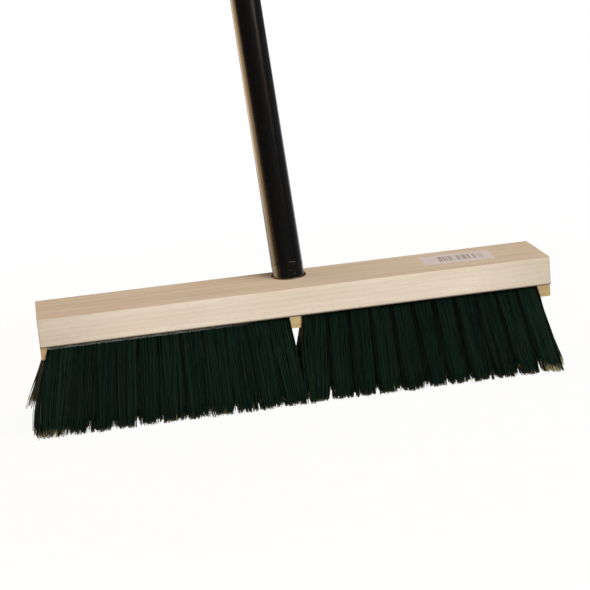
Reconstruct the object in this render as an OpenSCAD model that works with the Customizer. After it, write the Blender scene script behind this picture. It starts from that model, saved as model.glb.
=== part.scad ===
// Push broom: two stacked hardwood boards, five rows of hanks drawn in on wire, and a round
// pole whose threaded tip screws into a sloping socket in the middle of the boards.
// Millimetres. +X runs along the boards, -Y is the front, +Z is up. The origin is the middle
// of the sweep face, the flat plane that the bristle tips are trimmed to.

/* [Boards] */
// Length of both boards
block_len = 457.2; // [300:0.1:620]
// Front-to-back width of the cover board
cover_w = 76.2; // [66:0.1:110]
// Thickness of the cover board
cover_t = 25.4; // [22:0.1:40]
// Thickness of the tuft board
tuft_board_t = 11.5; // [9:0.1:18]
// How far the tuft board's long sides are set back under the cover board
tuft_board_inset = 5; // [2:0.1:9]
// How far the outer tuft holes stay inside the cover board's long sides
hole_setback = 0.5; // [0.3:0.1:3]
// Radius of the eased edges of the cover board
cover_ease = 1.6; // [0.5:0.1:4]

/* [Bristles] */
// From the sweep face up to the seam between the boards
trim_h = 76.2; // [50:0.1:130]
// Bare length between the last outer hole and the nearer end of the boards
end_margin = 8.5; // [7:0.1:40]
// Bare length between the first outer holes of the two half rows
middle_gap = 17.6; // [12:0.1:40]
// How far the drilled pattern sits off the middle of the boards
pattern_shift = -3; // [-4:0.5:4]
// Outward slope of the first and last row
outer_lean = 13; // [6:0.5:18]
// Outward slope of a row's end tuft, along the boards
end_fan = 12; // [0:0.5:16]
// Radius of a tuft hole in the first and last row
outer_hole_r = 8.7; // [5:0.1:9.2]
// Largest radius of the other tuft holes, as a share of the outer ones
inner_share = 0.75; // [0.5:0.01:0.8]
// Least wood left between the outer holes of one row
hole_web = 1.5; // [1:0.1:5]
// Least wood left at the seam between the holes of neighbouring rows
row_web = 0.4; // [0.3:0.1:2]
// Least wood left between the threaded hole and the inner tuft holes beside it
socket_web = 2; // [1:0.1:5]
// Gap all round between a hank and its hole
tuft_gap = 0.2; // [0.1:0.05:0.5]
// Gap left between neighbouring hanks at the sweep face
tip_gap = 0.5; // [0.3:0.1:2]
// Length below the tuft board over which a hank swells out of its hole
swell_len = 12; // [6:0.5:20]

/* [Draw wires] */
// Radius of the wire that each half row hangs on
wire_r = 0.6; // [0.4:0.05:1]
// Depth of the wire's middle below the seam
wire_depth = 3; // [2:0.1:5]
// Gap between the wire and what it passes through
wire_gap = 0.1; // [0.05:0.05:0.3]
// How far a wire runs on past the holes at both ends of its half row
wire_tail = 0.5; // [0.2:0.1:1]

/* [Board screws] */
// Radius of a screw's shank
screw_r = 1.75; // [1.2:0.05:2.2]
// Radius of a screw's countersunk head
screw_head_r = 3.3; // [2.4:0.1:4]
// Length of a screw with its head
screw_len = 25; // [18:0.5:30]
// Length of a screw's tapered point
screw_point = 3; // [2:0.1:5]
// Distance of the end screws from the end of the boards
screw_end = 6; // [5:0.1:12]

/* [Handle] */
// Backward slope of the handle from upright
handle_lean = 27.5; // [15:0.5:32]
// How far the handle's axis meets the top face behind the middle of the boards
foot_back = 16.2; // [8:0.1:18]
// Radius of the pole
pole_r = 14.3; // [11:0.1:16]
// Length of the handle from the ferrule's shoulder to the top end
handle_len = 1524; // [900:1:1800]
// Radius of the sphere that domes the pole's top end
dome_r = 24; // [18:0.5:40]
// Radius of the hole through the top end, to hang the broom up by
hang_r = 4; // [2.5:0.1:5]
// Distance of the hang-up hole from the top end
hang_drop = 30; // [20:0.5:60]

/* [Threaded ferrule] */
// Depth of the socket's wide part, measured along the handle's axis
socket_depth = 12; // [9:0.1:13]
// Length of the ferrule's threaded shank
shank_len = 21; // [14:0.1:22]
// Radius of the ferrule's threaded shank over its crests
shank_r = 9.4; // [7:0.1:11]
// Length of the tapered start of the shank, which finds the thread
lead_in = 1.5; // [1:0.1:3]
// How far the ferrule's cup stands out of the socket, along the handle's axis
cup_rise = 9; // [8:0.1:14]
// Wall of the ferrule's cup
cup_wall = 1.7; // [1:0.1:3]
// How much smaller the cup's widest part is than the pole
cup_step = 0.1; // [0.1:0.1:1]
// Thickness of the cup's floor
cup_floor = 3; // [2:0.1:5]
// How far the cup's rim draws in towards the pole's tenon
rim_draw = 0.3; // [0.2:0.1:1.2]
// Length of the cup's rim that draws in
rim_len = 1.2; // [0.8:0.1:7]
// Depth of the rivet below the top face, along the handle's axis
rivet_depth = 4.2; // [3:0.1:6]
// Radius of the rivet through the cup and the tenon
rivet_r = 1.6; // [1:0.1:2.2]
// Running gap between the ferrule and its socket
run_gap = 0.09; // [0.03:0.01:0.1]
// Gap between the tenon and the cup that it is pushed into
tenon_gap = 0.05; // [0.02:0.01:0.1]

/* [Hidden] */
$fn = 64;
seam_z = trim_h;
tuft_board_z = seam_z - tuft_board_t;
top_z = seam_z + cover_t;
tuft_board_w = cover_w - 2 * tuft_board_inset;

// Rows: the outer holes break through the tuft board's long sides down to the seam
outer_row_y = cover_w / 2 - hole_setback - outer_hole_r;
row_step = outer_row_y / 2;
row_y = [for (r = [-2 : 2]) r * row_step];
row_lean = [for (r = [-2 : 2]) r * outer_lean / 2];
// Half a row holds as many tufts as the board has room for. The middle place of every row is
// left free, and the inner rows start further out, because the handle's socket is there
last_tuft_x = block_len / 2 - end_margin - outer_hole_r - abs(pattern_shift);
outer_first_x = middle_gap / 2 + outer_hole_r;
half_count = 1 + floor((last_tuft_x - outer_first_x) / (2 * outer_hole_r + hole_web));
// The inner holes are as wide as the outer ones leave room for
inner_hole_r = min(row_step - outer_hole_r - row_web, inner_share * outer_hole_r);
inner_first_x = shank_r + run_gap + socket_web + inner_hole_r + abs(pattern_shift);
row_hole_r = [for (r = [-2 : 2]) abs(r) == 2 ? outer_hole_r : inner_hole_r];
row_first_x = [for (r = [-2 : 2]) abs(r) == 2 ? outer_first_x : inner_first_x];
function row_pitch(row) = (last_tuft_x - row_first_x[row]) / (half_count - 1);
function tuft_x(row, k) = row_first_x[row] + (k - 1) * row_pitch(row);
// The tips stand evenly from the middle out, so the tufts beside the socket lean over it
tip_pitch = (last_tuft_x + trim_h * tan(end_fan)) / (half_count - 0.5);
row_tip_step = row_step + trim_h * tan(outer_lean / 2);
tip_r = (min(tip_pitch, row_tip_step) - tip_gap) / 2;
// A hank keeps its hole's width through the board, and has swollen by this share of its spread
// at the end of the swell. It is made longer than the trim height, and then cut flat
neck_len = tuft_board_t / cos(outer_lean) + tuft_gap;
swell_share = 0.35;
hank_len = trim_h * 1.2;
function tuft_fan(row, k) = atan(((k - 0.5) * tip_pitch - tuft_x(row, k)) / trim_h);

// Wires: each lies in a saw kerf that is open to the seam and a little longer than the wire
kerf_r = wire_r + wire_gap;
kerf_over = 1;
wire_end = last_tuft_x + outer_hole_r + wire_tail;
function wire_start(row) = row_first_x[row] - row_hole_r[row] - wire_tail;
function wire_len(row) = wire_end - wire_start(row);

// Screws: two at each end, and one in the middle place of each outer row
screw_tip_r = 0.4;
screw_gap = 0.02;
end_screw_x = block_len / 2 - screw_end;
end_screw_y = (row_y[3] + row_y[4]) / 2;
screw_places = [
    for (sy = [-1, 1]) [pattern_shift, sy * outer_row_y],
    for (sx = [-1, 1], sy = [-1, 1]) [sx * end_screw_x, sy * end_screw_y]];

// Handle, measured along its own axis from where that axis meets the top face
cup_r = pole_r - cup_step;
tenon_r = cup_r - cup_wall - tenon_gap;
handle_top = handle_len - socket_depth;
hang_s = handle_top - hang_drop;
dome_edge = handle_top - dome_r + sqrt(dome_r * dome_r - pole_r * pole_r);
// How far the threaded hole runs on past the end of the shank
thread_over = 1;
// How far the rivet's ends are dressed below the cup's round
rivet_dress = 0.05;
eps = 0.01;

// Puts a piece on the handle's axis: local +Z runs up the handle, zero is at the top face
module on_handle_axis() {
    translate([0, foot_back, top_z]) rotate([-handle_lean, 0, 0]) children();
}

// Puts a piece at tuft k of a row: local -Z runs down the middle of the hank from the seam
module at_tuft(row, side, k) {
    translate([pattern_shift + side * tuft_x(row, k), row_y[row], seam_z])
        rotate([row_lean[row], -side * tuft_fan(row, k), 0]) children();
}

// Rectangle with rounded corners
module eased_rect(w, h, r) {
    square([w - 2 * r, h], center = true);
    square([w, h - 2 * r], center = true);
    for (sx = [-1, 1], sy = [-1, 1])
        translate([sx * (w / 2 - r), sy * (h / 2 - r)]) circle(r = r);
}

// Room for the ferrule: a wide seat for its cup, then the threaded hole
module socket_room() {
    on_handle_axis() {
        translate([0, 0, -socket_depth])
            cylinder(h = socket_depth + 4 * pole_r, r = cup_r + run_gap);
        translate([0, 0, -socket_depth - shank_len - thread_over])
            cylinder(h = shank_len + thread_over + eps, r = shank_r + run_gap);
    }
}

// A countersunk wood screw driven upwards, its head flush with z = 0
module wood_screw(grow) {
    head_h = screw_head_r - screw_r;
    cylinder(h = head_h, r1 = screw_head_r + grow, r2 = screw_r + grow);
    cylinder(h = screw_len - screw_point, r = screw_r + grow);
    translate([0, 0, screw_len - screw_point])
        cylinder(h = screw_point, r1 = screw_r + grow, r2 = screw_tip_r);
}

module board_screw_set(grow) {
    for (p = screw_places) translate([p[0], p[1], tuft_board_z]) wood_screw(grow);
}

// The upper board: all edges eased, one sloping socket and the screws' pilot holes
module cover_board() {
    color([0.84, 0.78, 0.68]) difference() {
        translate([0, 0, seam_z + cover_t / 2]) intersection() {
            rotate([90, 0, 90]) linear_extrude(block_len, center = true)
                eased_rect(cover_w, cover_t, cover_ease);
            linear_extrude(cover_t, center = true) eased_rect(block_len, cover_w, cover_ease);
        }
        socket_room();
        board_screw_set(screw_gap);
    }
}

// The lower board: sloping tuft holes, the outer ones open as flutes along its long sides
module tuft_board() {
    color([0.78, 0.65, 0.43]) difference() {
        translate([-block_len / 2, -tuft_board_w / 2, tuft_board_z])
            cube([block_len, tuft_board_w, tuft_board_t]);
        for (row = [0 : 4], side = [-1, 1], k = [1 : half_count]) at_tuft(row, side, k)
            translate([0, 0, -2 * tuft_board_t])
                cylinder(h = 3 * tuft_board_t, r = row_hole_r[row]);
        for (row = [0 : 4], side = [-1, 1]) wire_kerf(row, side);
        socket_room();
        board_screw_set(screw_gap);
    }
}

// How far a row has moved outwards at the depth of its wire
function wire_y(row) = row_y[row] + wire_depth * tan(row_lean[row]);

// Puts a piece at the middle of a half row's wire, with local +Z along the wire
module at_wire(row, side) {
    wire_mid = (wire_start(row) + wire_end) / 2;
    translate([pattern_shift + side * wire_mid, wire_y(row), seam_z - wire_depth])
        rotate([0, 90, 0]) children();
}

module wire_kerf(row, side) {
    kerf_len = wire_len(row) + 2 * kerf_over;
    at_wire(row, side) {
        cylinder(h = kerf_len, r = kerf_r, center = true);
        translate([-wire_depth - 1, -kerf_r, -kerf_len / 2])
            cube([wire_depth + 1, 2 * kerf_r, kerf_len]);
    }
}

// Both half rows' wires of one row, running through the fold of every hank
module draw_wires(row) {
    color([0.62, 0.63, 0.62]) for (side = [-1, 1]) at_wire(row, side)
        cylinder(h = wire_len(row), r = wire_r, center = true);
}

// One hank: bound to the hole's width inside the board, then swelling and spreading
module hank(neck_r) {
    swell_r = neck_r + (tip_r - neck_r) * swell_share;
    translate([0, 0, -neck_len]) cylinder(h = neck_len + neck_r, r = neck_r);
    translate([0, 0, -neck_len - swell_len]) cylinder(h = swell_len, r1 = swell_r, r2 = neck_r);
    translate([0, 0, -hank_len])
        cylinder(h = hank_len - neck_len - swell_len, r1 = tip_r, r2 = swell_r);
}

// Half a row of hanks, trimmed flat at the sweep face and topped just under the cover board
module tufts(row, side) {
    color([0.07, 0.13, 0.09]) difference() {
        intersection() {
            for (k = [1 : half_count]) at_tuft(row, side, k) hank(row_hole_r[row] - tuft_gap);
            translate([-block_len, -cover_w, 0])
                cube([2 * block_len, 2 * cover_w, seam_z - tuft_gap]);
        }
        at_wire(row, side)
            cylinder(h = wire_len(row) + 4 * outer_hole_r, r = kerf_r, center = true);
    }
}

// The six screws that hold the two boards together, driven from the bristle side
module board_screws() {
    color([0.7, 0.68, 0.6]) board_screw_set(0);
}

// The pole: a domed top end with a hang-up hole, and a tenon turned down for the ferrule
module handle_pole() {
    color([0.07, 0.07, 0.06]) on_handle_axis() difference() {
        union() {
            intersection() {
                translate([0, 0, cup_rise]) cylinder(h = handle_top - cup_rise, r = pole_r);
                union() {
                    translate([0, 0, handle_top - dome_r]) sphere(r = dome_r, $fn = 96);
                    translate([0, 0, cup_rise])
                        cylinder(h = dome_edge - cup_rise, r = pole_r + 1);
                }
            }
            translate([0, 0, cup_floor - socket_depth])
                cylinder(h = cup_rise + socket_depth - cup_floor + eps, r = tenon_r);
        }
        translate([0, 0, hang_s]) rotate([90, 0, 0])
            cylinder(h = 4 * pole_r, r = hang_r, center = true);
        rivet_body(tenon_gap);
    }
}

// The ferrule: a cup over the tenon whose rim draws in, on a shank for the block's thread
module threaded_ferrule() {
    cup_h = socket_depth + cup_rise;
    color([0.1, 0.1, 0.09]) on_handle_axis() difference() {
        union() {
            translate([0, 0, -socket_depth]) cylinder(h = cup_h - rim_len, r = cup_r);
            translate([0, 0, cup_rise - rim_len])
                cylinder(h = rim_len, r1 = cup_r, r2 = cup_r - rim_draw);
            translate([0, 0, -socket_depth - shank_len + lead_in])
                cylinder(h = shank_len - lead_in, r = shank_r);
            translate([0, 0, -socket_depth - shank_len])
                cylinder(h = lead_in, r1 = shank_r - lead_in, r2 = shank_r);
        }
        translate([0, 0, cup_floor - socket_depth])
            cylinder(h = cup_h, r = tenon_r + tenon_gap);
        rivet_body(tenon_gap);
    }
}

module rivet_body(grow) {
    translate([0, 0, -rivet_depth]) rotate([0, 90, 0])
        cylinder(h = 2 * cup_r + 2 * grow, r = rivet_r + grow, center = true);
}

// A plain rivet through cup and tenon, its ends dressed inside the cup's round
module ferrule_rivet() {
    color([0.6, 0.6, 0.58]) on_handle_axis() intersection() {
        rivet_body(0);
        translate([0, 0, -rivet_depth - 2 * rivet_r])
            cylinder(h = 4 * rivet_r, r = cup_r - rivet_dress);
    }
}

cover_board();
tuft_board();
tufts(0, -1);  // tufts_front_left
tufts(0, 1);  // tufts_front_right
tufts(1, -1);  // tufts_mid_front_left
tufts(1, 1);  // tufts_mid_front_right
tufts(2, -1);  // tufts_middle_left
tufts(2, 1);  // tufts_middle_right
tufts(3, -1);  // tufts_mid_rear_left
tufts(3, 1);  // tufts_mid_rear_right
tufts(4, -1);  // tufts_rear_left
tufts(4, 1);  // tufts_rear_right
draw_wires(0);  // wires_front
draw_wires(1);  // wires_mid_front
draw_wires(2);  // wires_middle
draw_wires(3);  // wires_mid_rear
draw_wires(4);  // wires_rear
board_screws();
handle_pole();
threaded_ferrule();
ferrule_rivet();
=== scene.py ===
from math import atan2, cos, pi, radians, sin

import bmesh
import bpy
import numpy as np
from mathutils import Matrix, Vector


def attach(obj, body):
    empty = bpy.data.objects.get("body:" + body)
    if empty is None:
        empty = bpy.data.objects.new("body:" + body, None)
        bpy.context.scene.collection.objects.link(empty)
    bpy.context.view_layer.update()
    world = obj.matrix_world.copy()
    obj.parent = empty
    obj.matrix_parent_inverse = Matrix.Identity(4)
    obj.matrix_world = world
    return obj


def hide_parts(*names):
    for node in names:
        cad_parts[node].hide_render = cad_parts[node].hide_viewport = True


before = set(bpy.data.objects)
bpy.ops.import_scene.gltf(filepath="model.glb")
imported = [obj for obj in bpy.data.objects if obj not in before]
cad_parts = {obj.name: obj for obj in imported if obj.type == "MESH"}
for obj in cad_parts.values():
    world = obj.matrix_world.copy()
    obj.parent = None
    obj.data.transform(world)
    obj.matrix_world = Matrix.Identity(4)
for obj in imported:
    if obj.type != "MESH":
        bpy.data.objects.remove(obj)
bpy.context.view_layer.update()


# --- Tuft board -----------------------------------------------------------------------------
# The lower board is the same beech as the board above, painted more amber and darker for the
# shade and warm bounced light below it. It is sawn, planed and drilled with rows of sloping
# holes, and its ends show the sawn rings.
mm = 0.001
joint_height, top_height = 76.2 * mm, 101.6 * mm


def linear(hex_colour):
    """An sRGB hex colour as the linear one that a shader's socket takes."""
    parts = [int(hex_colour[i : i + 2], 16) / 255 for i in (1, 3, 5)]
    return [c / 12.92 if c <= 0.04045 else ((c + 0.055) / 1.055) ** 2.4 for c in parts] + [1]


def add(material, kind, settings={}, inputs={}):
    """Adds one node to a material. An input takes a value or another node's output."""
    node = material.node_tree.nodes.new(kind)
    for name, value in settings.items():
        setattr(node, name, value)
    for name, value in inputs.items():
        if isinstance(value, bpy.types.NodeSocket):
            material.node_tree.links.new(value, node.inputs[name])
        else:
            node.inputs[name].default_value = value
    return node


def blank_material(name):
    """A material with no nodes in it."""
    material = bpy.data.materials.new(name)
    material.use_nodes = True
    material.node_tree.nodes.clear()
    return material


def painted_shade_share(wood, place):
    """Painted shade: a shadow line along the joint, and ends darker where the light falls off."""
    sides = add(wood, "ShaderNodeSeparateXYZ", {}, {0: place})
    off_joint = add(wood, "ShaderNodeMath", {"operation": "SUBTRACT"}, {
        0: sides.outputs[2], 1: joint_height})
    near_joint = add(wood, "ShaderNodeMath", {"operation": "ABSOLUTE"}, {0: off_joint.outputs[0]})
    # painted shadow line where the two boards meet
    in_joint = add(wood, "ShaderNodeMapRange", {}, {
        "Value": near_joint.outputs[0], "From Min": 0.9 * mm, "From Max": 1.9 * mm,
        "To Min": 0.9, "To Max": 0.0})
    along_x = add(wood, "ShaderNodeMath", {"operation": "ABSOLUTE"}, {0: sides.outputs[0]})
    # painted shade towards both ends, where the lamps' light falls off
    near_end = add(wood, "ShaderNodeMapRange", {}, {
        "Value": along_x.outputs[0], "From Min": 150 * mm, "From Max": 235 * mm, "To Max": 0.23})
    # the top face gets none of the painted shade at the ends
    off_top = add(wood, "ShaderNodeMapRange", {}, {
        "Value": sides.outputs[2], "From Min": top_height - 0.4 * mm, "From Max": top_height,
        "To Min": 1.0, "To Max": 0.1})
    at_end = add(wood, "ShaderNodeMath", {"operation": "MULTIPLY"}, {
        0: near_end.outputs[0], 1: off_top.outputs[0]})
    painted_shade = add(wood, "ShaderNodeMath", {"operation": "MAXIMUM"}, {
        0: in_joint.outputs[0], 1: at_end.outputs[0]})
    return painted_shade.outputs[0]


def planed_beech(name, sapwood, latewood, fleck, shade_colour, heart):
    """Planed beech, unfinished: long pale streaks, short brown ray flecks and ringed ends."""
    wood = blank_material(name)
    place = add(wood, "ShaderNodeTexCoord").outputs["Object"]
    # the tree's heart lies well below and behind the board, so its rings cross the ends as arcs
    from_heart = add(wood, "ShaderNodeMapping", {}, {
        "Vector": place, "Location": heart, "Rotation": (0, radians(1.5), radians(-2)),
        "Scale": (0.12, 1, 1)})
    # wavy growth rings, then fibres, wider bands and ray flecks, all drawn out along the board
    ring_gap = 4.6 * mm
    rings = add(wood, "ShaderNodeTexWave", {"wave_type": "RINGS", "rings_direction": "X"}, {
        "Vector": from_heart.outputs["Vector"], "Scale": 2 * pi / (20 * ring_gap),
        "Distortion": 7.0, "Detail": 3.0, "Detail Scale": 0.6, "Detail Roughness": 0.6})
    fibre_width = 1.5 * mm
    along = add(wood, "ShaderNodeMapping", {}, {
        "Vector": place, "Scale": (0.035 / fibre_width, 1 / fibre_width, 1 / fibre_width)})
    fibres = add(wood, "ShaderNodeTexNoise", {}, {
        "Vector": along.outputs["Vector"], "Scale": 1.0, "Detail": 3.0, "Roughness": 0.65})
    band_width = 11 * mm
    wide = add(wood, "ShaderNodeMapping", {}, {
        "Vector": place, "Scale": (0.12 / band_width, 1 / band_width, 1 / band_width)})
    bands = add(wood, "ShaderNodeTexNoise", {}, {
        "Vector": wide.outputs["Vector"], "Scale": 1.0, "Detail": 1.0})
    fleck_width = 0.8 * mm
    short = add(wood, "ShaderNodeMapping", {}, {
        "Vector": place, "Scale": (0.16 / fleck_width, 1 / fleck_width, 1 / fleck_width)})
    rays = add(wood, "ShaderNodeTexNoise", {}, {
        "Vector": short.outputs["Vector"], "Scale": 1.0, "Detail": 1.0})
    grown = add(wood, "ShaderNodeMath", {"operation": "MULTIPLY_ADD"}, {
        0: rings.outputs["Fac"], 1: 0.2, 2: bands.outputs["Fac"]})
    streaked = add(wood, "ShaderNodeMath", {"operation": "MULTIPLY_ADD"}, {
        0: fibres.outputs["Fac"], 1: 0.6, 2: grown.outputs[0]})
    tone = add(wood, "ShaderNodeMapRange", {}, {
        "Value": streaked.outputs[0], "From Min": 0.6, "From Max": 1.3})
    body = add(wood, "ShaderNodeMix", {"data_type": "RGBA"}, {
        0: tone.outputs[0], 6: linear(sapwood), 7: linear(latewood)})
    flecked = add(wood, "ShaderNodeMapRange", {}, {
        "Value": rays.outputs["Fac"], "From Min": 0.62, "From Max": 0.76, "To Max": 0.4})
    colour = add(wood, "ShaderNodeMix", {"data_type": "RGBA"}, {
        0: flecked.outputs[0], 6: body.outputs[2], 7: linear(fleck)})
    # the painted shade darkens the wood's own colour
    shown = add(wood, "ShaderNodeMix", {"data_type": "RGBA"}, {
        0: painted_shade_share(wood, place), 6: colour.outputs[2], 7: linear(shade_colour)})
    sheen = add(wood, "ShaderNodeMapRange", {}, {
        "Value": fibres.outputs["Fac"], "To Min": 0.52, "To Max": 0.68})
    relief = add(wood, "ShaderNodeBump", {}, {
        "Height": fibres.outputs["Fac"], "Strength": 0.35, "Distance": 0.12 * mm})
    surface = add(wood, "ShaderNodeBsdfPrincipled", {}, {
        "Base Color": shown.outputs[2], "Roughness": sheen.outputs[0],
        "Normal": relief.outputs["Normal"], "IOR": 1.5, "Specular IOR Level": 0.35})
    add(wood, "ShaderNodeOutputMaterial", {}, {"Surface": surface.outputs[0]})
    return wood


def finish_node(node, material):
    """Gives a CAD node its material."""
    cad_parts[node].data.materials.clear()
    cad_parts[node].data.materials.append(material)


# colours painted darker and more amber for shade; the fifth is the painted joint and end shade
finish_node("tuft_board", planed_beech(
    "planed_beech_shaded_amber", "#c6ad7c", "#b09765", "#8d7348", "#4a3a26", (0, 0.07, 0.11)))


# --- Tufts of bristle -----------------------------------------------------------------------
# Each hank is crimped polypropylene filament, extruded, cut, and folded into its hole. It
# spreads below the board, and is trimmed with the rest to the sweep face.
filament_radius = 0.29 * mm
filament_segments = 6
# How far down a filament each of its bends lies, as a share of its length
bend_levels = [0, 0.05, 0.15, 0.31, 0.55, 0.8, 1]
# Where the bow of an end hank is given, likewise
bow_levels = [0.02, 0.3, 0.6, 1]
# The shades lie side by side in the map: almost black for painted shade between hanks, dark
# greens, then green painted tan near the board for warm light, then green with a pale tan tip,
# then tan all along for warm light
shade_columns = 32
last_green, gap_lit_shade, pale_tip_shade, edge_lit_shade = 28, 29, 30, 31
outer_hairs, inner_hairs = 475, 240
mouth_hairs = 44
locks = 13
# How much of its hole a hank fills
hole_fill = 0.96
golden_angle = pi * (3 - 5 ** 0.5)


def model_filament():
    """One straight filament, one metre long from z = 0, cut into segments. It goes when read."""
    bpy.ops.object.select_all(action="DESELECT")
    bpy.ops.mesh.primitive_cylinder_add(
        vertices=3, radius=filament_radius, depth=1, location=(0, 0, 0.5))
    filament = bpy.context.object
    bpy.ops.object.mode_set(mode="EDIT")
    bpy.ops.mesh.select_all(action="DESELECT")
    shape = bmesh.from_edit_mesh(filament.data)
    for edge in shape.edges:
        edge.select = abs(edge.verts[0].co.z - edge.verts[1].co.z) > 0.5
    bpy.ops.mesh.subdivide(number_cuts=filament_segments - 1)
    bpy.ops.object.mode_set(mode="OBJECT")
    bpy.ops.object.transform_apply(location=True)
    return filament


def solids_of(node):
    """The corners of each separate solid of a CAD node, from left to right."""
    shape = bmesh.new()
    shape.from_mesh(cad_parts[node].data)
    bmesh.ops.remove_doubles(shape, verts=shape.verts, dist=0.001 * mm)
    waiting, found = set(shape.verts), []
    while waiting:
        reached = [waiting.pop()]
        for vert in reached:
            for edge in vert.link_edges:
                other = edge.other_vert(vert)
                if other in waiting:
                    waiting.remove(other)
                    reached.append(other)
        found.append(np.array([vert.co for vert in reached]))
    shape.free()
    return sorted(found, key=lambda corners: corners[:, 0].mean())


def disc_at(corners, height):
    """The middle and the half width of a hank where it is cut flat at a height."""
    ring = corners[abs(corners[:, 2] - height) < 0.05 * mm]
    low, high = ring.min(0), ring.max(0)
    return (low + high) / 2, (high[0] - low[0]) / 2


filament = model_filament()
pattern = np.array([vert.co for vert in filament.data.vertices])
pattern[:, 2] = np.interp(
    pattern[:, 2], np.linspace(0, 1, filament_segments + 1), bend_levels)
pattern_faces = [list(face.vertices) for face in filament.data.polygons]
face_sizes = np.array([len(face) for face in pattern_faces])
face_corners = np.concatenate(pattern_faces)
bpy.data.objects.remove(filament)


def places_in_hole(filaments, outward, draws):
    """Places across a hank in its hole, as shares of its radius, a little closer in its middle."""
    turn = np.arange(filaments) * golden_angle + draws.uniform(0, 2 * pi)
    out = ((np.arange(filaments) + 0.5) / filaments) ** 0.56
    across = np.stack([np.cos(turn), np.sin(turn)], 1) * out[:, None]
    across += draws.normal(0, 0.04, across.shape)
    if outward:
        # Enough of them lie at the mouth of an open hole to hide the wood beside it
        at_mouth = draws.choice(filaments, mouth_hairs, replace=False)
        from_middle = draws.uniform(0.56, 0.72, mouth_hairs)
        across[at_mouth, 0] = from_middle * draws.choice([-1, 1], mouth_hairs)
        across[at_mouth, 1] = draws.uniform(0.51, 0.68, mouth_hairs) * outward
    return across


def gather(across, squareness, sole_radius, draws):
    """Where the hairs lie when loose, as shares of the radius and in metres, and in which lock.

    Packed against its neighbours, the hank is nearly square in section. Hairs draw together in
    locks, each with its own lean.
    """
    reach = np.linalg.norm(across, axis=1)
    square = across / ((abs(across).max(1) / reach) ** squareness)[:, None]
    lock_middles = square[draws.choice(len(across), locks, replace=False)]
    lock = np.linalg.norm(square[:, None] - lock_middles, axis=2).argmin(1)
    gathered = square + (lock_middles[lock] - square) * draws.uniform(0, 0.22, locks)[lock, None]
    loose = gathered * (sole_radius + 0.7 * mm)
    loose += draws.normal(0, 0.6 * mm, (locks, 2))[lock]
    loose += draws.normal(0, 0.5 * mm, loose.shape)
    return square, loose, lock


def trim(square, lock, draws):
    """How far above the sweep face each hair ends. Most at the sides of a hank are far shorter."""
    lift = draws.uniform(0, 1.2 * mm, locks)[lock]
    lift += draws.exponential(0.6 * mm, len(square))
    at_side = (square[:, 0] > 0).astype(int)
    notch = draws.uniform(1, 10, 2)[at_side] * mm
    notch_start = draws.uniform(0.55, 0.88, 2)[at_side]
    short = (abs(square[:, 0]) > notch_start) & (draws.random(len(square)) < 0.8)
    lift[short] += notch[short] * draws.uniform(0.6, 1.1, short.sum())
    return lift


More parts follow.
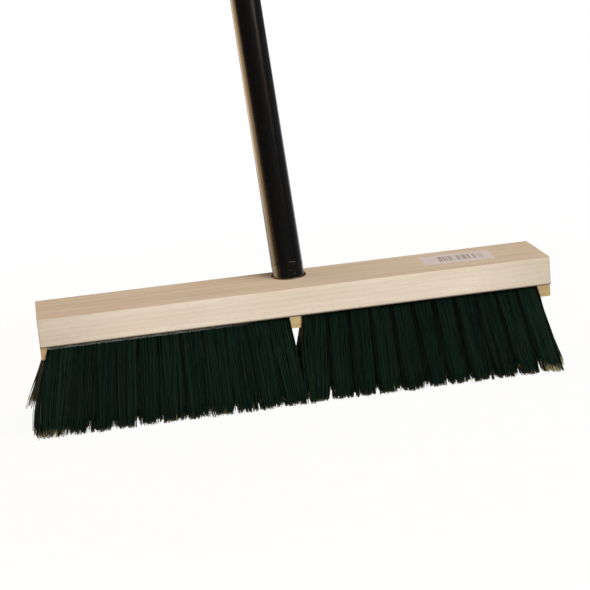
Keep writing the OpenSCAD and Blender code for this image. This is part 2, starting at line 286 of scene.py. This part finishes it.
def spread(hank, filaments, outward, end_side, end_bow, gap_side, gap_reach, look, edge_lit_share,
           draws):
    """Lays filaments down one hank. Returns their points, bent into place, and their shades.

    outward is -1 or 1 in the front and rear rows, end_side in a hank at an end of the broom and
    gap_side in a hank beside the free place in the middle. Elsewhere they are 0.
    """
    squareness, groove_shade_share, lock_contrast, gap_lit_share = look
    root, root_radius = disc_at(hank, hank[:, 2].max())
    sole, sole_radius = disc_at(hank, hank[:, 2].min())
    across = places_in_hole(filaments, outward, draws)
    # How far out of the row a filament lies, and where between the sides of the hank
    facing = across[:, 1] * outward
    half_chord = np.sqrt(np.clip(1 - facing ** 2, 0.2, 1))
    share = np.clip(across[:, 0] / half_chord, -1, 1)
    square, loose, lock = gather(across, squareness, sole_radius, draws)
    # A hank has its own shade, from which each lock and each hair differs
    own_shade = draws.uniform(4, last_green - 4)
    lock_shades = draws.uniform(1, last_green - 1, locks)
    shade = own_shade + (lock_shades - own_shade)[lock] * lock_contrast
    shade += draws.normal(0, 1.6, filaments)
    shade = np.clip(shade, 0, last_green).astype(int)
    # Hairs that have sprung out of line
    stray = draws.random(filaments) < 0.03
    loose[stray] += draws.normal(0, 2.6 * mm, (stray.sum(), 2))
    lift = trim(square, lock, draws)
    # Hairs between two hanks are painted almost black: painted shade in the grooves
    groove_shaded = (abs(square[:, 0]) > 0.62) & (draws.random(filaments) < groove_shade_share)
    shade[groove_shaded] = 0
    # Sweeping along walls has pushed the end hanks outwards. Many of their hairs have pale tan
    # tips, and some on the outer side are painted tan all along for the warm light that edges them
    outer_side = np.clip(across[:, 0] * end_side, 0, 1)
    pale_tipped = draws.random(filaments) < {-1: 0.4, 0: 0.008, 1: 0.85}[end_side]
    shade[pale_tipped] = pale_tip_shade
    wear_and_lit_edge = (outer_side > 0.45) & (draws.random(filaments) < edge_lit_share)
    shade[wear_and_lit_edge] = edge_lit_shade
    # The outer holes are open to the side. Their hairs hide the wood between two holes, and
    # bulge to meet the next hank's
    free = np.clip((facing - 0.42) / 0.12, 0, 1)
    edge_bias = np.clip(0.4 + (facing - 0.5) * 1.2, 0.4, 0.9)
    wide = np.sign(share) * abs(share) ** edge_bias * (1.4 - (facing - 0.5) * 1.3)
    over_web = (facing > 0.5) & (facing < 0.74) & (abs(share) > 0.66)
    spaced = draws.permutation(np.linspace(0.88, 1.24, over_web.sum()))
    wide[over_web] = np.sign(share[over_web]) * spaced
    # hairs over the wood between two holes get the painted groove shade as well
    in_web = (free > 0.5) & (abs(wide) > 0.95)
    shade[in_web & (draws.random(filaments) < 1.4 * groove_shade_share)] = 0
    # hairs beside the free place get a painted highlight of warm light near the board
    gap_lit = (across[:, 0] * gap_side > 0.7) & (draws.random(filaments) < gap_lit_share)
    shade[gap_lit] = gap_lit_shade
    to_gap = np.clip(share * gap_side * 1.5, 0, 1)
    wide *= 1 - (0.3 if outward > 0 else 0.12) * to_gap
    held_x = across[:, 0] * root_radius * hole_fill
    held_x += free * (wide * root_radius * hole_fill - held_x)
    # Straight in the hole, then opening out quickly, then evenly
    tall = root[2] - sole[2]
    down = pattern[:, 2][None, :] * (1 - lift / tall)[:, None]
    bulge = np.interp(down, [0, 0.06], [0.8 * mm, 3.8 * mm])
    free_y = outward * (4.6 * mm + bulge * np.clip(facing * 2 - 1, 0, 1)[:, None])
    held_y = (across[:, 1] * root_radius * hole_fill)[:, None] * np.ones_like(down)
    held_y += free[:, None] * (free_y - held_y)
    held = np.stack([held_x[:, None] * np.ones_like(down), held_y], 2)
    neck = np.stack([np.full(filaments, 0.15), 0.15 - 0.11 * free], 1)[:, None, :]
    swell, rest = 0.16, 0.69
    past_neck = down[..., None] - neck
    swelled = 0.35 * (1 - 0.8 * to_gap)[:, None, None]
    opened = swelled * np.clip(past_neck / swell, 0, 1)
    opened += (1 - swelled) * np.clip((past_neck - swell) / rest, 0, 1)
    # The ends of the hairs draw together again, as they do in a brush that is trimmed
    closing = np.stack([np.interp(down, [0.8, 1], [1, 0.94]), np.ones_like(down)], 2)
    middle = root[:2] + (sole[:2] - root[:2]) * down[..., None]
    level = middle + held * (1 - opened) + loose[:, None, :] * closing * opened
    # No hair is quite straight
    level += draws.normal(0, 0.45 * mm, (filaments, 1, 2)) * np.sin(pi * opened)
    level += draws.normal(0, 0.22 * mm, (filaments, 1, 2)) * np.sin(2 * pi * opened)
    bowed = np.interp(down, bow_levels, end_bow) * mm
    level[..., 0] += end_side * outer_side[:, None] * bowed
    # The hanks beside the free place in the middle lean over it or away from it
    leaning = np.interp(down, [0, 0.1, 0.32, 0.7, 1], [0.8, 0.8, 1, 0.6, 0.2])
    toward = np.clip((share * gap_side + 0.4) / 1.4, 0, 1)[:, None]
    level[..., 0] += gap_side * gap_reach * toward * leaning
    # Each filament is turned about its own length
    angle = draws.uniform(0, 2 * pi, filaments)[:, None]
    x, y = pattern[:, 0][None, :], pattern[:, 1][None, :]
    level[..., 0] += x * np.cos(angle) - y * np.sin(angle)
    level[..., 1] += x * np.sin(angle) + y * np.cos(angle)
    height = np.maximum(root[2] - tall * down, 0.02 * mm)
    return np.concatenate([level, height[..., None]], 2), shade


def filament_map(shades):
    """A map for filaments: down the map is down the filament, and its column is its shade."""
    side = np.array([[0.1, 0.9, 0.9, 0.1][i] for face in pattern_faces for i in range(len(face))])
    u = (shades[:, None] + side[None, :]) / shade_columns
    v = np.tile(pattern[face_corners, 2], (len(shades), 1))
    return np.stack([u, v], 2)


def bristle_mesh(name, points, shades):
    """One mesh of many filaments, with a map of their shades. Its map has the name that
    the export keeps.
    """
    count, corners = points.shape[0], len(face_corners)
    mesh = bpy.data.meshes.new(name)
    mesh.vertices.add(count * len(pattern))
    mesh.vertices.foreach_set("co", points.ravel())
    mesh.loops.add(count * corners)
    step = np.arange(count)[:, None] * len(pattern)
    mesh.loops.foreach_set("vertex_index", (face_corners[None, :] + step).ravel())
    sizes = np.tile(face_sizes, count)
    mesh.polygons.add(len(sizes))
    mesh.polygons.foreach_set("loop_start", np.concatenate([[0], np.cumsum(sizes)[:-1]]))
    mesh.polygons.foreach_set("loop_total", sizes)
    mesh.update(calc_edges=True)
    mesh.uv_layers.new(name="OFBake").data.foreach_set("uv", filament_map(shades).ravel())
    mesh.shade_smooth()
    return mesh


def green_filament():
    """Extruded polypropylene, dyed dark green: locks of olive, green and teal, tan cut ends."""
    plastic = blank_material("extruded_polypropylene_green")
    place = add(plastic, "ShaderNodeUVMap", {"uv_map": "OFBake"}).outputs[0]
    parts = add(plastic, "ShaderNodeSeparateXYZ", {}, {0: place})
    hair = add(plastic, "ShaderNodeValToRGB", {}, {0: parts.outputs[0]})
    # the last shade, tan, is painted warm light along hairs at the outer side of the end hanks
    shades = ["#06120d", "#102417", "#0c201b", "#16291a", "#0f261b", "#152a22", "#5c5747"]
    places = [0, 0.18, 0.36, 0.54, 0.72, 0.966, 0.971]
    stops = hair.color_ramp.elements
    for number, (position, shade) in enumerate(zip(places, shades)):
        stop = stops[number] if number < 2 else stops.new(position)
        stop.position, stop.color = position, linear(shade)
    # down the map is down the hair. Roots get painted shade below the board, and hairs of the
    # first shade get painted shade high up, where they lie between two hanks
    root_shade = add(plastic, "ShaderNodeMapRange", {}, {
        "Value": parts.outputs[1], "From Min": 0.01, "From Max": 0.03, "To Min": 0.85,
        "To Max": 0.0})
    is_between = add(plastic, "ShaderNodeMath", {"operation": "LESS_THAN"}, {
        0: parts.outputs[0], 1: 1 / shade_columns})
    high_up = add(plastic, "ShaderNodeMapRange", {}, {
        "Value": parts.outputs[1], "From Min": 0.15, "From Max": 0.7, "To Min": 0.85,
        "To Max": 0.0})
    groove_shade = add(plastic, "ShaderNodeMath", {"operation": "MULTIPLY"}, {
        0: is_between.outputs[0], 1: high_up.outputs[0]})
    painted_dark = add(plastic, "ShaderNodeMath", {"operation": "MAXIMUM"}, {
        0: root_shade.outputs[0], 1: groove_shade.outputs[0]})
    shaded_hair = add(plastic, "ShaderNodeMix", {"data_type": "RGBA"}, {
        0: painted_dark.outputs[0], 6: hair.outputs[0], 7: linear("#020302")})
    # cut ends are paler, and some hairs have pale tan tips as well
    cut_end = add(plastic, "ShaderNodeMapRange", {}, {
        "Value": parts.outputs[1], "From Min": 0.965, "From Max": 0.99, "To Max": 0.7})
    fresh = add(plastic, "ShaderNodeMix", {"data_type": "RGBA"}, {
        0: cut_end.outputs[0], 6: shaded_hair.outputs[2], 7: linear("#564b34")})
    is_pale_tipped = add(plastic, "ShaderNodeMath", {"operation": "GREATER_THAN"}, {
        0: parts.outputs[0], 1: pale_tip_shade / shade_columns})
    near_end = add(plastic, "ShaderNodeMapRange", {}, {
        "Value": parts.outputs[1], "From Min": 0.91, "From Max": 0.98, "To Max": 0.9})
    pale_tipped = add(plastic, "ShaderNodeMath", {"operation": "MULTIPLY"}, {
        0: is_pale_tipped.outputs[0], 1: near_end.outputs[0]})
    ended = add(plastic, "ShaderNodeMix", {"data_type": "RGBA"}, {
        0: pale_tipped.outputs[0], 6: fresh.outputs[2], 7: linear("#b3a67c")})
    # some hairs beside the free place are painted tan near the board: painted warm light
    is_gap_lit = add(plastic, "ShaderNodeMath", {"operation": "COMPARE"}, {
        0: parts.outputs[0], 1: (gap_lit_shade + 0.5) / shade_columns, 2: 0.45 / shade_columns})
    near_board = add(plastic, "ShaderNodeMapRange", {}, {
        "Value": parts.outputs[1], "From Min": 0.1, "From Max": 0.4, "To Min": 0.9,
        "To Max": 0.0})
    gap_lit = add(plastic, "ShaderNodeMath", {"operation": "MULTIPLY"}, {
        0: is_gap_lit.outputs[0], 1: near_board.outputs[0]})
    marked = add(plastic, "ShaderNodeMix", {"data_type": "RGBA"}, {
        0: gap_lit.outputs[0], 6: ended.outputs[2], 7: linear("#ab8750")})
    # a grey painted highlight on the front row's fold, below the left part of the upper board
    spot = add(plastic, "ShaderNodeTexCoord").outputs["Object"]
    sides = add(plastic, "ShaderNodeSeparateXYZ", {}, {0: spot})
    at_left = add(plastic, "ShaderNodeMapRange", {}, {
        "Value": sides.outputs[0], "From Min": -100 * mm, "From Max": -40 * mm, "To Min": 0.8,
        "To Max": 0.0})
    in_front = add(plastic, "ShaderNodeMath", {"operation": "LESS_THAN"}, {
        0: sides.outputs[1], 1: -30 * mm})
    highlight_place = add(plastic, "ShaderNodeMath", {"operation": "MULTIPLY"}, {
        0: at_left.outputs[0], 1: in_front.outputs[0]})
    at_root = add(plastic, "ShaderNodeMath", {"operation": "COMPARE"}, {
        0: parts.outputs[1], 1: 0.02, 2: 0.009})
    root_highlight = add(plastic, "ShaderNodeMath", {"operation": "MULTIPLY"}, {
        0: highlight_place.outputs[0], 1: at_root.outputs[0]})
    colour = add(plastic, "ShaderNodeMix", {"data_type": "RGBA"}, {
        0: root_highlight.outputs[0], 6: marked.outputs[2], 7: linear("#93948e")})
    surface = add(plastic, "ShaderNodeBsdfPrincipled", {}, {
        "Base Color": colour.outputs[2], "Roughness": 0.5, "IOR": 1.49,
        "Specular IOR Level": 0.07})
    add(plastic, "ShaderNodeOutputMaterial", {}, {"Surface": surface.outputs[0]})
    return plastic


bristle_plastic = green_filament()
rows = ["front", "mid_front", "middle", "mid_rear", "rear"]
# How far an end hank bows outwards, in millimetres at each of the bow levels
end_bows = {
    "left": (0, 0, 1.6, 4), "right": (0, 0, 0.8, 2.2), "front left": (0, 4, 8, 5.5),
    "mid_rear left": (0, 0, 2, 5), "rear left": (0, 0, 4.5, 12)}
# How far a hank leans over the free place in the middle, in millimetres. The rest lean away
gap_reaches = {"front left": 2.5, "front right": 5.6}
away = -6.5
# What share of the hairs on the outer side of an end hank is painted tan for warm light
edge_lit_shares = {"left": 0.28, "right": 0, "front left": 0.05}
# Squareness, share of hairs painted dark for shade between hanks, contrast of locks and share of
# hairs painted tan for warm light beside the free place: packed tight and even on the left,
# rounder with more painted groove shade on the right
looks = {"left": (0.8, 0.3, 0.6, 0), "right": (0.4, 0.7, 0.3, 0.9)}
for row_number, row in enumerate(rows):
    outward = {"front": -1, "rear": 1}.get(row, 0)
    filaments = outer_hairs if outward else inner_hairs
    for side in ["left", "right"]:
        node, half_row = f"tufts_{row}_{side}", f"{row} {side}"
        draws = np.random.default_rng(7 + 10 * row_number + (side == "left"))
        end_bow = end_bows.get(half_row, end_bows[side])
        gap_reach = gap_reaches.get(half_row, away) * mm
        edge_lit_share = edge_lit_shares.get(half_row, edge_lit_shares[side])
        hanks = solids_of(node)
        by_gap = len(hanks) - 1 if side == "left" else 0
        at_end = len(hanks) - 1 - by_gap
        laid, shades = [], []
        for place, hank in enumerate(hanks):
            gap_side = 0 if place != by_gap else 1 if side == "left" else -1
            end_side = 0 if place != at_end else -1 if side == "left" else 1
            points, shade = spread(
                hank, filaments, outward, end_side, end_bow, gap_side, gap_reach, looks[side],
                edge_lit_share, draws)
            laid.append(points)
            shades.append(shade)
        name = f"bristles_{row}_{side}"
        mesh = bristle_mesh(name, np.concatenate(laid), np.concatenate(shades))
        bristles = bpy.data.objects.new(name, mesh)
        bpy.context.scene.collection.objects.link(bristles)
        bristles.data.materials.append(bristle_plastic)
        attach(bristles, "head")
        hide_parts(node)


# --- Draw wires -----------------------------------------------------------------------------
# Galvanised steel wire, drawn through the fold of every hank and laid in a saw kerf. It shows
# only where the kerf runs out.
def drawn_wire():
    """Drawn, galvanised steel: dull silver with fine draw lines along it."""
    steel = blank_material("galvanised_drawn_wire")
    place = add(steel, "ShaderNodeTexCoord").outputs["Object"]
    lines = add(steel, "ShaderNodeMapping", {}, {"Vector": place, "Scale": (40, 4000, 4000)})
    drawn = add(steel, "ShaderNodeTexNoise", {}, {"Vector": lines.outputs[0], "Scale": 1.0})
    sheen = add(steel, "ShaderNodeMapRange", {}, {
        "Value": drawn.outputs["Fac"], "To Min": 0.3, "To Max": 0.5})
    surface = add(steel, "ShaderNodeBsdfPrincipled", {}, {
        "Base Color": linear("#b9bcbc"), "Metallic": 1.0, "Roughness": sheen.outputs[0]})
    add(steel, "ShaderNodeOutputMaterial", {}, {"Surface": surface.outputs[0]})
    return steel


wire_steel = drawn_wire()
for row in rows:
    finish_node(f"wires_{row}", wire_steel)


# --- Cover board ----------------------------------------------------------------------------
# The upper board is pale beech, planed, with all its edges eased. It closes the kerfs and
# carries the handle's sloping socket.
# its fifth colour is the painted shade at the joint and the ends
finish_node("cover_board", planed_beech(
    "planed_beech_pale", "#d3c9ba", "#c4b8a4", "#b5a187", "#564d3f", (0, 0.06, 0.07)))


# --- Board screws ---------------------------------------------------------------------------
# Six countersunk wood screws, rolled from steel and zinc plated. They are driven up from the
# bristle side, and hold the boards together.
def zinc_steel():
    """Bright zinc plating, faintly yellow and mottled."""
    zinc = blank_material("zinc_plated_steel")
    place = add(zinc, "ShaderNodeTexCoord").outputs["Object"]
    mottle = add(zinc, "ShaderNodeTexNoise", {}, {"Vector": place, "Scale": 700.0})
    colour = add(zinc, "ShaderNodeMix", {"data_type": "RGBA"}, {
        0: mottle.outputs["Fac"], 6: linear("#c9c6b8"), 7: linear("#aeb0ae")})
    surface = add(zinc, "ShaderNodeBsdfPrincipled", {}, {
        "Base Color": colour.outputs[2], "Metallic": 1.0, "Roughness": 0.32})
    add(zinc, "ShaderNodeOutputMaterial", {}, {"Surface": surface.outputs[0]})
    return zinc


def turned(name, outline, sides):
    """A turned piece on the z axis, closed at both ends, from its outline of (radius, z)."""
    bpy.ops.object.select_all(action="DESELECT")
    radius, z = outline[0]
    bpy.ops.mesh.primitive_circle_add(
        vertices=sides, radius=radius, fill_type="NGON", location=(0, 0, z))
    piece = bpy.context.object
    piece.name = piece.data.name = name
    bpy.ops.object.transform_apply(location=True)
    bpy.ops.object.mode_set(mode="EDIT")
    bpy.ops.mesh.select_all(action="SELECT")
    for next_radius, next_z in outline[1:]:
        bpy.ops.mesh.extrude_region_move(
            TRANSFORM_OT_translate={"value": (0, 0, next_z - z)})
        grown = next_radius / radius
        bpy.ops.transform.resize(value=(grown, grown, 1), center_override=(0, 0, next_z))
        radius, z = next_radius, next_z
    bpy.ops.mesh.select_all(action="SELECT")
    bpy.ops.mesh.normals_make_consistent(inside=False)
    bpy.ops.object.mode_set(mode="OBJECT")
    return piece


def cut_thread(piece, low, high, run_out, crest, depth, pitch):
    """Winds a rounded thread into the rings of a turned piece, fading at both of its ends."""
    for vert in piece.data.vertices:
        x, y, z = vert.co
        if not low <= z <= high:
            continue
        fade = min(1, (z - low) / run_out, (high - z) / run_out)
        phase = (z / pitch - atan2(y, x) / (2 * pi)) % 1
        ridge = min(1, 2.2 * abs(2 * phase - 1))
        reach = (crest - depth * fade * (1 - ridge) ** 0.8) / crest
        vert.co.x, vert.co.y = x * reach, y * reach


def model_board_screw():
    """One screw, its head's face at z = 0 and its point upwards."""
    head_r, shank_r, head_h = 3.3 * mm, 1.75 * mm, 1.55 * mm
    length, point, ring_step = 25 * mm, 3 * mm, 0.2 * mm
    shank_rings = [(shank_r, z * ring_step) for z in range(9, int((length - point) / ring_step))]
    screw = turned("board_screw", [
        (head_r - 0.15 * mm, 0), (head_r, 0.12 * mm), (head_r, 0.3 * mm), (shank_r, head_h),
        *shank_rings, (shank_r, length - point), (0.8 * mm, length - 1 * mm),
        (0.4 * mm, length)], 28)
    cut_thread(screw, 4 * mm, length - point, 1.5 * mm, shank_r, 0.5 * mm, 1.8 * mm)
    for number, (along, across) in enumerate([(4, 0.85), (0.85, 4)]):
        bpy.ops.object.select_all(action="DESELECT")
        bpy.ops.mesh.primitive_cube_add(size=1)
        slot_cutter = bpy.context.object
        slot_cutter.scale = (along * mm, across * mm, 2.6 * mm)
        bpy.ops.object.transform_apply(scale=True)
        cut = screw.modifiers.new(f"recess_{number}", "BOOLEAN")
        cut.operation, cut.object = "DIFFERENCE", slot_cutter
        bpy.context.view_layer.objects.active = screw
        bpy.ops.object.modifier_apply(modifier=cut.name)
        bpy.data.objects.remove(slot_cutter)
    return screw


pattern_screw = model_board_screw()
pattern_screw.data.materials.append(zinc_steel())
for number, corners in enumerate(solids_of("board_screws")):
    face = corners[corners[:, 2] < corners[:, 2].min() + 0.05 * mm]
    centre = (face.min(0) + face.max(0)) / 2
    mesh = pattern_screw.data.copy()
    mesh.transform(Matrix.Translation(centre) @ Matrix.Rotation(0.9 * number, 4, "Z"))
    screw = bpy.data.objects.new(f"board_screw_{number}", mesh)
    bpy.context.scene.collection.objects.link(screw)
    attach(screw, "head")
    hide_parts("board_screws")
bpy.data.objects.remove(pattern_screw)


# --- Pole, ferrule and rivet ----------------------------------------------------------------
# The pole is turned wood, dipped in black lacquer. Its foot is in the cup of a threaded steel
# ferrule, painted black and held by a plain rivet.
handle_lean = radians(27.5)
# Where the handle's axis goes through the top face
foot_back = 16.2 * mm


def black_lacquer(name, coat_colour, worn_colour, roughness, grain):
    """Black lacquer over a turned or formed surface: glossy, with faint long streaks."""
    lacquer = blank_material(name)
    place = add(lacquer, "ShaderNodeTexCoord").outputs["Object"]
    upright = add(lacquer, "ShaderNodeMapping", {"vector_type": "TEXTURE"}, {
        "Vector": place, "Rotation": (-handle_lean, 0, 0)})
    drawn = add(lacquer, "ShaderNodeMapping", {}, {
        "Vector": upright.outputs[0], "Scale": (600, 600, grain)})
    streaks = add(lacquer, "ShaderNodeTexNoise", {}, {
        "Vector": drawn.outputs[0], "Scale": 1.0, "Detail": 2.0})
    specks = add(lacquer, "ShaderNodeTexNoise", {}, {
        "Vector": place, "Scale": 900.0, "Detail": 1.0})
    wear_and_lit_edge = add(lacquer, "ShaderNodeMapRange", {}, {
        "Value": specks.outputs["Fac"], "From Min": 0.7, "From Max": 0.78, "To Max": 0.6})
    colour = add(lacquer, "ShaderNodeMix", {"data_type": "RGBA"}, {
        0: wear_and_lit_edge.outputs[0], 6: linear(coat_colour), 7: linear(worn_colour)})
    sheen = add(lacquer, "ShaderNodeMapRange", {}, {
        "Value": streaks.outputs["Fac"], "To Min": roughness - 0.05, "To Max": roughness + 0.08})
    relief = add(lacquer, "ShaderNodeBump", {}, {
        "Height": streaks.outputs["Fac"], "Strength": 0.3, "Distance": 0.08 * mm})
    surface = add(lacquer, "ShaderNodeBsdfPrincipled", {}, {
        "Base Color": colour.outputs[2], "Roughness": sheen.outputs[0], "IOR": 1.5,
        "Specular IOR Level": 0.3, "Normal": relief.outputs[0]})
    add(lacquer, "ShaderNodeOutputMaterial", {}, {"Surface": surface.outputs[0]})
    return lacquer


def onto_handle_axis(piece):
    """Moves a piece made on the z axis onto the handle's axis, zero at the top face."""
    foot = Matrix.Translation((0, foot_back, top_height))
    piece.data.transform(foot @ Matrix.Rotation(-handle_lean, 4, "X"))


finish_node("handle_pole", black_lacquer(
    "black_lacquer_on_wood", "#080807", "#2c2721", 0.22, 25))
black_paint = black_lacquer("black_paint_on_steel", "#0c0c0c", "#77746c", 0.2, 500)

# The cup's radius and its height along the handle's axis, in millimetres: up the outside, over
# the rim and down the inside
cup_outline = [
    (14.2, -11.7), (14.2, 7.9), (14.15, 8.5), (13.95, 8.9), (13.7, 9.0), (12.6, 9.0),
    (12.5, 8.9), (12.5, -8.6), (12.2, -9.0)]
shank_rings = [(9.4, -31.5 + 0.3 * step) for step in range(64)]
ferrule = turned("ferrule", [(r * mm, z * mm) for r, z in [
    (7.9, -33), (8.6, -32.4), *shank_rings, (9.4, -12.3), (9.45, -12.0), (13.8, -11.95),
    *cup_outline]], 96)
cut_thread(ferrule, -32 * mm, -13 * mm, 2 * mm, 9.4 * mm, 1.1 * mm, 5.08 * mm)
onto_handle_axis(ferrule)
ferrule.data.shade_smooth()
ferrule.data.set_sharp_from_angle(angle=radians(35))
ferrule.data.materials.append(black_paint)
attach(ferrule, "handle")
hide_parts("threaded_ferrule")
finish_node("ferrule_rivet", wire_steel)


# --- Mouth bead -----------------------------------------------------------------------------
# A thin brown bead on the board around the mouth of the socket. It stands in for the contact
# shadow where the handle meets the board, and its brown is painted shade.
bead_radius, bead_thickness = 15.1 * mm, 1.7 * mm
bpy.ops.object.select_all(action="DESELECT")
bpy.ops.mesh.primitive_torus_add(
    major_radius=bead_radius, minor_radius=bead_thickness / 2, major_segments=96,
    minor_segments=14)
bead = bpy.context.object
bead.name = bead.data.name = "mouth_bead"
for vert in bead.data.vertices:
    # each slice moves along the handle's axis until the ring lies on the board
    vert.co.z = (vert.co.z + vert.co.y * sin(handle_lean)) / cos(handle_lean)
onto_handle_axis(bead)
bead.data.shade_smooth()
bead.data.materials.append(black_lacquer(
    "brown_painted_shadow_bead", "#4b391d", "#6b5530", 0.3, 500))
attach(bead, "head")


# --- Label ----------------------------------------------------------------------------------
# A small printed paper label, stuck a little askew on the top face, right of the handle. It
# carries no words, only plain grey bars.
label_length, label_width, label_thick = 64.4 * mm, 35.5 * mm, 0.1 * mm
label_place = (153.3 * mm, 3.3 * mm, top_height)


def printed_paper():
    """White label paper, faintly lilac, with one row of plain grey bars."""
    paper = blank_material("printed_label_paper")
    place = add(paper, "ShaderNodeUVMap", {"uv_map": "OFBake"}).outputs[0]
    parts = add(paper, "ShaderNodeSeparateXYZ", {}, {0: place})
    # each of 26 steps along the label holds one bar of a random width
    pitch = add(paper, "ShaderNodeMath", {"operation": "MULTIPLY"}, {
        0: parts.outputs[0], 1: 26.0})
    step = add(paper, "ShaderNodeMath", {"operation": "FRACT"}, {0: pitch.outputs[0]})
    number = add(paper, "ShaderNodeMath", {"operation": "FLOOR"}, {0: pitch.outputs[0]})
    odd = add(paper, "ShaderNodeTexWhiteNoise", {"noise_dimensions": "1D"}, {
        "W": number.outputs[0]})
    bar = add(paper, "ShaderNodeMath", {"operation": "LESS_THAN"}, {
        0: step.outputs[0], 1: odd.outputs["Value"]})
    across = add(paper, "ShaderNodeMath", {"operation": "COMPARE"}, {
        0: parts.outputs[0], 1: 0.56, 2: 0.32})
    down = add(paper, "ShaderNodeMath", {"operation": "COMPARE"}, {
        0: parts.outputs[1], 1: 0.52, 2: 0.27})
    in_row = add(paper, "ShaderNodeMath", {"operation": "MULTIPLY"}, {
        0: across.outputs[0], 1: down.outputs[0]})
    ink = add(paper, "ShaderNodeMath", {"operation": "MULTIPLY"}, {
        0: bar.outputs[0], 1: in_row.outputs[0]})
    colour = add(paper, "ShaderNodeMix", {"data_type": "RGBA"}, {
        0: ink.outputs[0], 6: linear("#d0cfd3"), 7: linear("#a19aa0")})
    surface = add(paper, "ShaderNodeBsdfPrincipled", {}, {
        "Base Color": colour.outputs[2], "Roughness": 0.6, "IOR": 1.5,
        "Specular IOR Level": 0.3})
    add(paper, "ShaderNodeOutputMaterial", {}, {"Surface": surface.outputs[0]})
    return paper


bpy.ops.object.select_all(action="DESELECT")
bpy.ops.mesh.primitive_plane_add(size=1)
label = bpy.context.object
label.name = label.data.name = "label"
label.data.uv_layers[0].name = "OFBake"
bpy.ops.object.mode_set(mode="EDIT")
bpy.ops.mesh.select_all(action="SELECT")
bpy.ops.mesh.extrude_region_move(TRANSFORM_OT_translate={"value": (0, 0, 1)})
bpy.ops.mesh.select_all(action="SELECT")
bpy.ops.mesh.normals_make_consistent(inside=False)
bpy.ops.object.mode_set(mode="OBJECT")
label.scale = (label_length, label_width, label_thick)
label.rotation_euler = (0, 0, radians(-4))
label.location = label_place
bpy.ops.object.transform_apply(location=True, rotation=True, scale=True)
label.data.materials.append(printed_paper())
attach(label, "head")


# --- Camera, floor and light ----------------------------------------------------------------
# A long lens from a little above and to the left, over a white floor in a white surround. The
# lamps are soft: one in front, one above, and three from the sides that edge the handle.
scene = bpy.context.scene
scene.view_settings.view_transform = "Standard"
picture_side = 590
focal_pixels = 1804
camera = bpy.data.objects.new("camera", bpy.data.cameras.new("camera"))
camera.data.sensor_width = 36
camera.data.lens = focal_pixels / picture_side * camera.data.sensor_width
right = Vector((0.98361, -0.15667, -0.08925))
forward = Vector((0.13215, 0.96314, -0.23431))
axes = Matrix((right, right.cross(forward), -forward)).transposed()
camera.matrix_world = Matrix.Translation((-0.2122, -1.5611, 0.4663)) @ axes.to_4x4()
scene.collection.objects.link(camera)
scene.camera = camera

bpy.ops.object.select_all(action="DESELECT")
bpy.ops.mesh.primitive_plane_add(size=60, location=(0, 0, 0))
floor = bpy.context.object
floor.name = "floor"
coat = blank_material("white_floor")
seen = add(coat, "ShaderNodeLightPath")
spot = add(coat, "ShaderNodeTexCoord").outputs["Object"]
far_off = add(coat, "ShaderNodeVectorMath", {"operation": "LENGTH"}, {0: spot})
# the shadow shows close to the broom, and the floor fades to plain white around it, both to
# the camera and in what mirrors it
faded = add(coat, "ShaderNodeMapRange", {}, {
    "Value": far_off.outputs["Value"], "From Min": 0.35, "From Max": 0.8, "To Min": 0.94})
mirrored = add(coat, "ShaderNodeMath", {"operation": "MAXIMUM"}, {
    0: seen.outputs["Is Glossy Ray"], 1: seen.outputs["Is Transmission Ray"]})
in_sight = add(coat, "ShaderNodeMath", {"operation": "MAXIMUM"}, {
    0: seen.outputs["Is Camera Ray"], 1: mirrored.outputs[0]})
direct = add(coat, "ShaderNodeMath", {"operation": "MULTIPLY"}, {
    0: in_sight.outputs[0], 1: faded.outputs[0]})
matt = add(coat, "ShaderNodeBsdfDiffuse", {}, {"Color": linear("#f8f8f8")})
white = add(coat, "ShaderNodeEmission", {}, {"Color": (1, 1, 1, 1), "Strength": 1.0})
mixed = add(coat, "ShaderNodeMixShader", {}, {
    0: direct.outputs[0], 1: matt.outputs[0], 2: white.outputs[0]})
add(coat, "ShaderNodeOutputMaterial", {}, {"Surface": mixed.outputs[0]})
floor.data.materials.append(coat)

world = bpy.data.worlds.new("surround")
scene.world = world
world.use_nodes = True
world.node_tree.nodes.clear()
# white to the camera, and dim to all else, so that the black lacquer mirrors little of it
ray = add(world, "ShaderNodeLightPath")
sky = add(world, "ShaderNodeMapRange", {}, {
    "Value": ray.outputs["Is Camera Ray"], "To Min": 0.08, "To Max": 1.0})
surround = add(world, "ShaderNodeBackground", {}, {
    "Color": (1, 1, 1, 1), "Strength": sky.outputs[0]})
add(world, "ShaderNodeOutputWorld", {}, {"Surface": surround.outputs[0]})


def lamp(name, place, aim, width, height, watts, colour):
    """A soft lamp that faces a point."""
    light = bpy.data.lights.new(name, "AREA")
    light.shape = "RECTANGLE"
    light.size, light.size_y = width, height
    light.energy = watts
    light.color = linear(colour)[:3]
    piece = bpy.data.objects.new(name, light)
    piece.location = place
    piece.rotation_euler = (Vector(aim) - Vector(place)).to_track_quat("-Z", "Y").to_euler()
    scene.collection.objects.link(piece)


lamp("front_lamp", (0.1, -2.35, 0.5), (0, 0, 0.1), 0.9, 0.9, 38, "#ffffff")
lamp("top_lamp", (1.2, -0.1, 2.4), (0.1, 0, 0.1), 1.6, 1.6, 55, "#ffeddc")
lamp("warm_lamp", (-1.12, 0.93, 0.38), (0, 0.1, 0.3), 1.5, 0.74, 16.5, "#ffd6a2")
lamp("side_lamp", (-1.42, -0.1, 0.38), (0, 0.05, 0.3), 0.45, 0.74, 1.4, "#ffb870")
lamp("cool_lamp", (1.4, 0.4, 0.45), (0, 0.1, 0.3), 1.2, 0.8, 0.6, "#bfd2f2")
